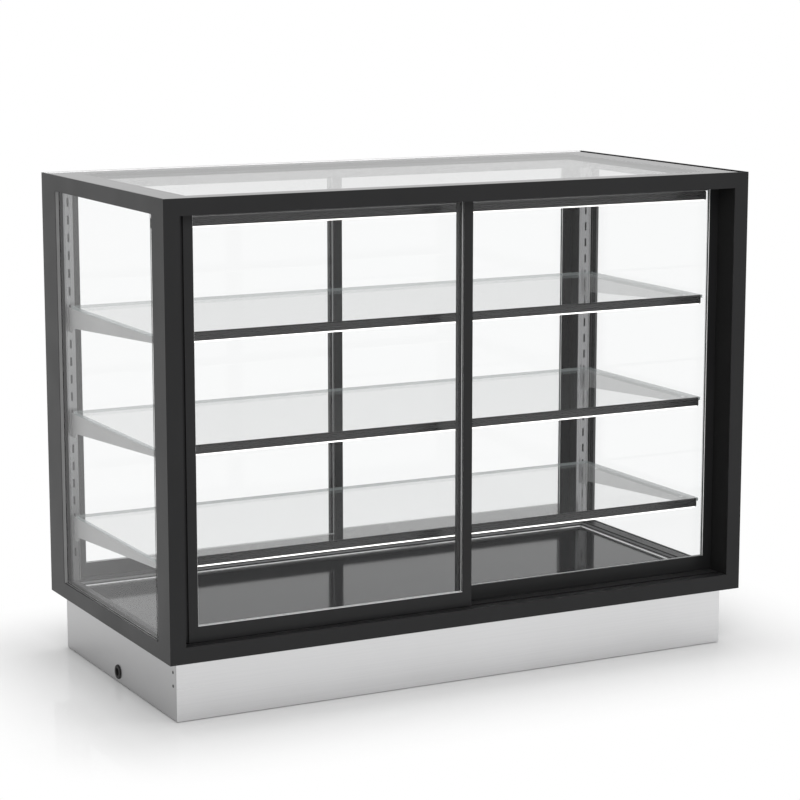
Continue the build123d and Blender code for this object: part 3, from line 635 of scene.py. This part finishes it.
class CASE_OT_doors(bpy.types.Operator):
    """Finish the sliding doors and seal their panes"""

    bl_idname = "display_case.doors"
    bl_label = "Doors"

    def execute(self, context):
        colours, sizes = context.scene.case_colours, context.scene.case_sizes
        coat = powder_coat("satin_black_door_coat", colours.frame, 0.34)
        clear = pane_glass("door_pane", colours.glass, shine=0.45, veil=0.004, head_on=0.012)
        silicone = clear_silicone("clear_door_seal", colours.seal)
        for end in ENDS:
            for side in SIDES:
                door = f"{end}_{side}_door"
                finish_node(f"{door}_frame", coat, sizes.soft_edge)
                finish_node(f"{door}_glass", clear)
                self.pane_seals(door, sizes, silicone)
        # The jamb felt is a dark matt sheet that paints the shade on the posts' inner faces beside the doors.
        felt = felted("black_jamb_shade_felt", tinted(colours.felt, 0.7), tinted(colours.felt, 1.5))
        self.jamb_shade_felts(sizes, felt)
        return {"FINISHED"}

    def jamb_shade_felts(self, sizes, felt):
        """A black felt strip on every post, between the outer face and the door that closes against it: a
        dark matt sheet that paints the shade of the jamb.
        """
        inset = 1.2 * MM
        for end, outward in ENDS.items():
            for side, sign in SIDES.items():
                post_low, post_high = node_box(f"{end}_{side}_post")
                door_low, door_high = node_box(f"{end}_{side}_door_frame")
                wall = post_low.x if sign > 0 else post_high.x
                first = (post_low.y if outward < 0 else post_high.y) - outward * inset
                last = (door_low.y if outward < 0 else door_high.y) + outward * inset
                x = sorted((wall, wall - sign * sizes.felt))
                y = sorted((first, last))
                mesh = bmesh.new()
                bar(mesh, (x[0], y[0], post_low.z), (x[1], y[1], post_high.z))
                add_piece(f"{end}_{side}_jamb_shade_felt", mesh, "case", felt, False)

    def pane_seals(self, door, sizes, silicone):
        """A wedge seal round the pane on both of its faces.

        The left doors hide it in their meeting stile and the right doors in their bottom rail.
        """
        glass_low, glass_high = node_box(f"{door}_glass")
        bite, foot_play = 6.0 * MM, 1.0 * MM
        low = glass_low + Vector((bite, 0, bite + foot_play))
        high = glass_high - Vector((bite, 0, bite))
        if "left" in door:
            high.x += sizes.seal_width
        else:
            low.z -= sizes.seal_width
        middle = (glass_low.y + glass_high.y) / 2
        half = (glass_high.y - glass_low.y) / 2
        lip = 0.8 * MM
        mesh = bmesh.new()
        for way in (-1, 1):
            face = middle + way * half
            tip = face + way * sizes.seal_height
            mitred_ring(mesh, low, high, 1, [
                (0, face), (sizes.seal_width, face), (sizes.seal_width, face + way * lip),
                (sizes.seal_width * 0.45, tip), (0, tip),
            ])
        add_piece(f"{door}_seals", mesh, door, silicone)


class CASE_OT_standards(bpy.types.Operator):
    """Finish the slotted standards and the brackets"""

    bl_idname = "display_case.standards"
    bl_label = "Standards and brackets"

    def execute(self, context):
        colours, sizes = context.scene.case_colours, context.scene.case_sizes
        steel = brushed_steel("steel_standards", colours.standard, "Z", 0.3)
        finish_node("shelf_standards", steel, sizes.fine_edge)
        paint = powder_coat("light_grey_bracket_coat", colours.bracket, 0.4)
        for side in SIDES:
            finish_node(f"{side}_shelf_brackets", paint, sizes.sheet_edge)
        self.pads(sizes, clear_silicone("clear_pads", colours.seal))
        return {"FINISHED"}

    def pads(self, sizes, silicone):
        """Small clear pads between the brackets and the shelves, one near each end of a bracket."""
        radius, thick, rim = sizes.pad_radius, 1.6 * MM, 0.6 * MM
        profile = [(0, -thick), (radius * 0.8, -thick), (radius, -rim), (radius, 0), (0, 0)]
        for shelf in SHELVES:
            low, high = node_box(f"{shelf}_shelf_glass")
            for side, sign in SIDES.items():
                bracket_low, bracket_high = node_box(f"{side}_shelf_brackets")
                x = (bracket_low.x if sign > 0 else bracket_high.x) - sign * radius
                mesh = bmesh.new()
                for share in (0.12, 0.88):
                    y = low.y + share * (high.y - low.y)
                    lathe(mesh, profile, facing((0, 0, 1), (x, y, low.z)), 16)
                add_piece(f"{shelf}_shelf_{side}_pads", mesh, "case", silicone)


class CASE_OT_shelves(bpy.types.Operator):
    """Finish the glass shelves and their front rails"""

    bl_idname = "display_case.shelves"
    bl_label = "Shelves"

    def execute(self, context):
        colours, sizes = context.scene.case_colours, context.scene.case_sizes
        glass = shelf_glass("shelf_pane", tinted(colours.glass, 0.985), colours.glass_edge)
        black = anodised("dark_anodised_rail", colours.rail, 0.26)
        for shelf in SHELVES:
            finish_node(f"{shelf}_shelf_glass", glass)
            finish_node(f"{shelf}_shelf_rail", black, sizes.rail_edge, 3)
        finish_node("rail_end_caps", moulded("black_end_caps", colours.plastic), sizes.cap_edge, 4)
        return {"FINISHED"}


class CASE_OT_lights(bpy.types.Operator):
    """Finish the light bar and light the opal strips"""

    bl_idname = "display_case.lights"
    bl_label = "Lights"

    def execute(self, context):
        colours, sizes = context.scene.case_colours, context.scene.case_sizes
        finish_node("top_light_bar", anodised("dark_anodised_bar", colours.rail, 0.26), sizes.sheet_edge)
        finish_node("light_diffusers", glowing("lit_opal", colours.lamp, sizes.lamp_glow))
        return {"FINISHED"}


class CASE_OT_deck(bpy.types.Operator):
    """Finish the heated deck and what lies under it"""

    bl_idname = "display_case.deck"
    bl_label = "Heated deck"

    def execute(self, context):
        colours, sizes = context.scene.case_colours, context.scene.case_sizes
        # The strips' light grey paints the reflection on the walls of the base ring.
        self.lining(anodised("satin_deck_strip_painted_reflection", colours.lining, 0.4))
        self.bead(brushed_steel("polished_bead", tinted(colours.steel, 1.42), "Y", 0.12))
        mix = Recipe("black_deck_glass")
        clouds = mix.grain(5.0)
        shader = mix.add(
            "ShaderNodeBsdfPrincipled", None,
            Base_Color=mix.shade(clouds, tinted(colours.deck, 0.9), tinted(colours.deck, 1.2)),
            Roughness=mix.spread(clouds, 0.08, 0.1), IOR=1.33,
        )
        finish_node("deck_glass", mix.done(shader.outputs[0]))
        finish_node("deck_trim", brushed_steel("steel_trim", colours.steel, "X", 0.4), sizes.fine_edge)
        zinc = brushed_steel("galvanised_sheet", (0.5, 0.51, 0.52), "Y", 0.45)
        finish_node("deck_ledge", zinc)
        finish_node("heater_pan", zinc)
        finish_node("pan_insulation", felted("mineral_wool", (0.35, 0.3, 0.18), (0.66, 0.6, 0.42)))
        finish_node("deck_heater", moulded("heater_silicone", (0.45, 0.13, 0.05), 0.5))
        return {"FINISHED"}

    def lining(self, satin):
        """Thin satin strips on the walls of the base ring, between the trim and the ring's top; their own
        satin sheen, and a light grey that paints the reflection on these walls.
        """
        low, high = node_box("deck_trim")
        wall = node_box("left_base_beam")[1].z - high.z
        foot, top, thick = high.z + 0.26 * wall, high.z + 0.7 * wall, 0.5 * MM
        mesh = bmesh.new()
        mitred_ring(mesh, low, high, 2, [(0, foot), (thick, foot), (thick, top), (0, top)])
        add_piece("deck_strip_painted_reflection", mesh, "case", satin, False)

    def bead(self, steel):
        """A low polished bead on the deck glass along the inside of its trim."""
        low, high = node_box("deck_glass")
        wide, tall, bevel = 2.8 * MM, 2.0 * MM, 1.3 * MM
        mesh = bmesh.new()
        mitred_ring(mesh, low, high, 2, [
            (0, high.z), (wide, high.z), (wide, high.z + tall - bevel), (wide - bevel, high.z + tall),
            (0, high.z + tall),
        ])
        add_piece("deck_bead", mesh, "case", steel)


class CASE_OT_plinth(bpy.types.Operator):
    """Finish the stainless plinth, its rivets, its screws and its grommet"""

    bl_idname = "display_case.plinth"
    bl_label = "Plinth"

    def execute(self, context):
        colours, sizes = context.scene.case_colours, context.scene.case_sizes
        lengthwise = brushed_steel("steel_plinth_ends", colours.steel, "X")
        # The sides and the floor of the plinth take the steel at 0.65 of its brightness: painted shade for
        # the sides, which face away from the light.
        shaded_crosswise = brushed_steel("steel_plinth_sides_painted_shade", tinted(colours.steel, 0.65), "Y")
        for name in ("plinth_front", "plinth_rear"):
            finish_node(name, lengthwise, sizes.sheet_edge)
        for name in ("plinth_left_side", "plinth_right_side", "plinth_floor"):
            finish_node(name, shaded_crosswise, sizes.sheet_edge)
        finish_node("plinth_rivets", brushed_steel("dark_rivet_steel", colours.rivet, "Z", 0.4))
        finish_node("cable_grommet", moulded("black_grommet_rubber", colours.plastic, 0.7))
        self.panel_screws(sizes, brushed_steel("screw_steel", colours.steel, "Z", 0.25))
        return {"FINISHED"}

    def panel_screws(self, sizes, steel):
        """Screws that hold the rear panel to the sides."""
        low, high = node_box("plinth_rear")
        mesh = bmesh.new()
        inset = 14 * MM
        for x in (low.x + inset, 0.0, high.x - inset):
            for z in (low.z + inset, high.z - 1.5 * inset):
                screw(mesh, (x, high.y, z), (0, 1, 0), sizes.screw_radius)
        add_piece("rear_panel_screws", mesh, "case", steel)


class CASE_OT_controls(bpy.types.Operator):
    """Finish the knob, its scale, the switches and the electrics"""

    bl_idname = "display_case.controls"
    bl_label = "Controls"

    def execute(self, context):
        colours, sizes = context.scene.case_colours, context.scene.case_sizes
        grained = moulded("black_grained_plastic", colours.plastic, 0.42)
        glossy = moulded("black_glossy_plastic", colours.plastic, 0.14, 0.02)
        pale = moulded("pale_ink", colours.mark, 0.5, 0.02)
        dark = moulded("dark_ink", (0.02, 0.02, 0.02), 0.5, 0.02)
        for name in ("thermostat", "switch_housings", "terminal_block"):
            finish_node(name, grained, sizes.fine_edge)
        finish_node("thermostat_knob", grained)
        for name in ("power_rocker", "light_rocker"):
            finish_node(name, glossy)
            self.rocker_marks(name, pale)
        finish_node("led_driver", moulded("white_driver_case", (0.8, 0.8, 0.79), 0.4))
        self.pointer(pale)
        self.scale(sizes, dark)
        return {"FINISHED"}

    def pointer(self, pale):
        """The pale line in the knob's pointer groove."""
        low, high = node_box("thermostat_knob")
        centre = (low + high) / 2
        half_wide, floor, top = 0.9 * MM, 0.75 * MM, 0.3 * MM
        start, end = KNOB_GRIP_RADIUS * 0.36, KNOB_GRIP_RADIUS * 0.96
        mesh = bmesh.new()
        bar(mesh, (centre.x - half_wide, high.y - floor, centre.z + start),
            (centre.x + half_wide, high.y - top, centre.z + end))
        add_piece("knob_pointer", mesh, "thermostat_knob", pale, False)

    def scale(self, sizes, dark):
        """Marks and numbers round the knob, clockwise for the person behind the case."""
        low, high = node_box("thermostat_knob")
        centre = (low + high) / 2
        face = node_box("plinth_rear")[1].y
        half_wide, thick, number_gap = 0.4 * MM, 0.15 * MM, 8.5 * MM
        mesh = bmesh.new()
        for n in range(10):
            turn = Matrix.Translation((centre.x, face, centre.z)) @ Matrix.Rotation(-n * SCALE_STEP, 4, "Y")
            tip = sizes.dial_radius + (4.0 * MM if n % 3 == 0 else 2.5 * MM)
            bar(mesh, (-half_wide, 0, sizes.dial_radius), (half_wide, thick, tip), turn)
        add_piece("thermostat_scale", mesh, "case", dark, False)
        for n in range(0, 10, 3):
            text = str(10 * n)
            angle = n * SCALE_STEP
            reach = sizes.dial_radius + number_gap
            spot = (centre.x - reach * sin(angle), face, centre.z + reach * cos(angle))
            self.number(f"scale_{text}", text, spot, dark)

    def number(self, name, text, spot, dark):
        """A number that faces the person behind the case."""
        words = bpy.data.curves.new(name, "FONT")
        words.body = text
        words.size = 7 * MM
        words.align_x, words.align_y = "CENTER", "CENTER"
        words.extrude = 0.08 * MM
        lettering = bpy.data.objects.new(name + "_outline", words)
        bpy.context.scene.collection.objects.link(lettering)
        graph = bpy.context.evaluated_depsgraph_get()
        data = bpy.data.meshes.new_from_object(lettering.evaluated_get(graph))
        bpy.data.objects.remove(lettering)
        mesh = bmesh.new()
        mesh.from_mesh(data)
        bmesh.ops.transform(mesh, matrix=facing((0, 1, 0), spot), verts=mesh.verts)
        add_piece(name, mesh, "case", dark, False)

    def rocker_marks(self, name, pale):
        """A line on the upper half and a ring on the lower half of a rocker."""
        low, high = node_box(name)
        housing_low, housing_high = node_box("switch_housings")
        pivot = ((low.x + high.x) / 2, housing_high.y - ROCKER_PIVOT_IN, housing_low.z + ROCKER_PIVOT_UP)
        place = Matrix.Translation(pivot) @ Matrix.Rotation(-ROCKER_TILT, 4, "X")
        reach = 6.5 * MM
        face = ROCKER_FACE_OUT + reach * tan(ROCKER_TILT)
        upper, lower = (
            place @ Matrix.Translation((0, face, way * reach)) @ Matrix.Rotation(-way * ROCKER_TILT, 4, "X")
            for way in (1, -1)
        )
        half_line, outer, inner = 0.5 * MM, 2.2 * MM, 1.4 * MM
        mesh = bmesh.new()
        bar(mesh, (-half_line, 0, -outer), (half_line, HAIR, outer), upper)
        lathe(mesh, [(inner, 0), (outer, 0), (outer, HAIR), (inner, HAIR), (inner, 0)],
              lower @ Matrix.Rotation(-pi / 2, 4, "X"))
        add_piece(f"{name}_marks", mesh, name, pale, False)


class CASE_OT_stage(bpy.types.Operator):
    """Set up the camera, the lamps and the floor"""

    bl_idname = "display_case.stage"
    bl_label = "Stage"

    def execute(self, context):
        stage = context.scene.stage_settings
        context.scene.view_settings.view_transform = "Standard"
        context.scene.cycles.transparent_max_bounces = GLASS_FACES_DEEP
        self.camera(context, stage)
        self.surroundings(context, stage)
        self.floor(context, stage)
        for name, place, size, power in LAMPS:
            self.lamp(context, name, place, size, power)
        return {"FINISHED"}

    def camera(self, context, stage):
        """The camera at the photograph's viewing angle."""
        data = bpy.data.cameras.new("camera")
        data.lens = stage.lens
        data.sensor_width = 36.0
        data.clip_end = 200.0
        camera = bpy.data.objects.new("camera", data)
        camera.location = stage.camera_place
        camera.rotation_euler = (pi / 2 - stage.camera_tilt, 0, -stage.camera_turn)
        context.scene.collection.objects.link(camera)
        context.scene.camera = camera

    def surroundings(self, context, stage):
        """A white room for eye, mirror and glass, and a softer light for the rest."""
        world = bpy.data.worlds.new("white_room")
        world.use_nodes = True
        context.scene.world = world
        tree = world.node_tree
        tree.nodes.clear()
        path = tree.nodes.new("ShaderNodeLightPath").outputs
        level = stage.ambient
        for ray, strength in (
            ("Is Glossy Ray", stage.mirrored), ("Is Transmission Ray", 1.0), ("Is Camera Ray", 1.0),
        ):
            choose = tree.nodes.new("ShaderNodeMix")
            choose.inputs[3].default_value = strength
            tree.links.new(path[ray], choose.inputs[0])
            if isinstance(level, float):
                choose.inputs[2].default_value = level
            else:
                tree.links.new(level, choose.inputs[2])
            level = choose.outputs[0]
        light = tree.nodes.new("ShaderNodeBackground")
        light.inputs["Color"].default_value = (*PLAIN_WHITE, 1.0)
        tree.links.new(level, light.inputs["Strength"])
        output = tree.nodes.new("ShaderNodeOutputWorld")
        tree.links.new(light.outputs[0], output.inputs["Surface"])

    def floor(self, context, stage):
        """A pale floor with a faint mirror in it, which turns plain white away from the case."""
        mesh = bmesh.new()
        bmesh.ops.create_circle(mesh, cap_ends=True, segments=96, radius=stage.floor_radius)
        data = bpy.data.meshes.new("floor")
        mesh.to_mesh(data)
        mesh.free()
        mix = Recipe("pale_floor")
        matt = mix.add("ShaderNodeBsdfDiffuse", None, Color=stage.floor).outputs[0]
        gloss = mix.add("ShaderNodeBsdfGlossy", None, Color=PLAIN_WHITE, Roughness=0.05).outputs[0]
        white = mix.add("ShaderNodeEmission", None, Color=PLAIN_WHITE, Strength=1.0).outputs[0]
        low, high = node_box("plinth_front")
        spot = mix.add("ShaderNodeSeparateXYZ", None, Vector=mix.place()).outputs
        beside, ahead = (
            mix.math("MAXIMUM", mix.math("SUBTRACT", mix.math("ABSOLUTE", spot[axis]), half), 0.0)
            for axis, half in (("X", high.x), ("Y", -low.y))
        )
        away = mix.math("SQRT", mix.math(
            "ADD", mix.math("MULTIPLY", beside, beside), mix.math("MULTIPLY", ahead, ahead)
        ))
        fade = mix.add(
            "ShaderNodeMapRange", {"interpolation_type": "SMOOTHSTEP"}, Value=away,
            From_Max=stage.shade_reach,
        ).outputs[0]
        path = mix.add("ShaderNodeLightPath").outputs
        looked_at = mix.math("MAXIMUM", path["Is Camera Ray"], path["Is Glossy Ray"])
        looked_at = mix.math("MAXIMUM", looked_at, path["Is Transmission Ray"])
        share = mix.math("MULTIPLY", fade, looked_at)
        mirror_share, sunk = 0.12, 1.5 * MM
        data.materials.append(mix.done(mix.join(share, mix.join(mirror_share, matt, gloss), white)))
        floor = bpy.data.objects.new("floor", data)
        floor.location.z = -sunk
        context.scene.collection.objects.link(floor)

    def lamp(self, context, name, place, size, power):
        """A soft square lamp that points at the middle of the case."""
        data = bpy.data.lights.new(name, "AREA")
        data.size = size
        data.energy = power
        lamp = bpy.data.objects.new(name, data)
        lamp.location = place
        lamp.rotation_euler = (LAMP_TARGET - lamp.location).to_track_quat("-Z", "Y").to_euler()
        lamp.visible_glossy = False
        context.scene.collection.objects.link(lamp)


STEPS = (
    CASE_OT_stage, CASE_OT_frame, CASE_OT_tracks, CASE_OT_fixed_glass, CASE_OT_doors, CASE_OT_standards,
    CASE_OT_shelves, CASE_OT_lights, CASE_OT_deck, CASE_OT_plinth, CASE_OT_controls,
)
SETTINGS = {"case_colours": CaseColours, "case_sizes": CaseSizes, "stage_settings": StageSettings}


class CASE_PT_panel(bpy.types.Panel):
    """The case's settings and steps"""

    bl_idname = "CASE_PT_panel"
    bl_label = "Display Case"
    bl_space_type = "VIEW_3D"
    bl_region_type = "UI"
    bl_category = "Display Case"

    def draw(self, context):
        for name, kind in SETTINGS.items():
            column = self.layout.column(heading=name.replace("_", " ").capitalize())
            for field in kind.__annotations__:
                column.prop(getattr(context.scene, name), field)
        for step in STEPS:
            self.layout.operator(step.bl_idname)


def register():
    """Register the classes and hang the settings on the scene."""
    for kind in (*SETTINGS.values(), *STEPS, CASE_PT_panel):
        bpy.utils.register_class(kind)
    for name, kind in SETTINGS.items():
        setattr(bpy.types.Scene, name, PointerProperty(type=kind))


def unregister():
    """Take the settings off the scene and unregister the classes."""
    for name in SETTINGS:
        delattr(bpy.types.Scene, name)
    for kind in reversed((*SETTINGS.values(), *STEPS, CASE_PT_panel)):
        bpy.utils.unregister_class(kind)


def main():
    """Finish the case step by step."""
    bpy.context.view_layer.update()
    register()
    for step in STEPS:
        group, name = step.bl_idname.split(".")
        getattr(getattr(bpy.ops, group), name)()


if __name__ == "__main__":
    main()
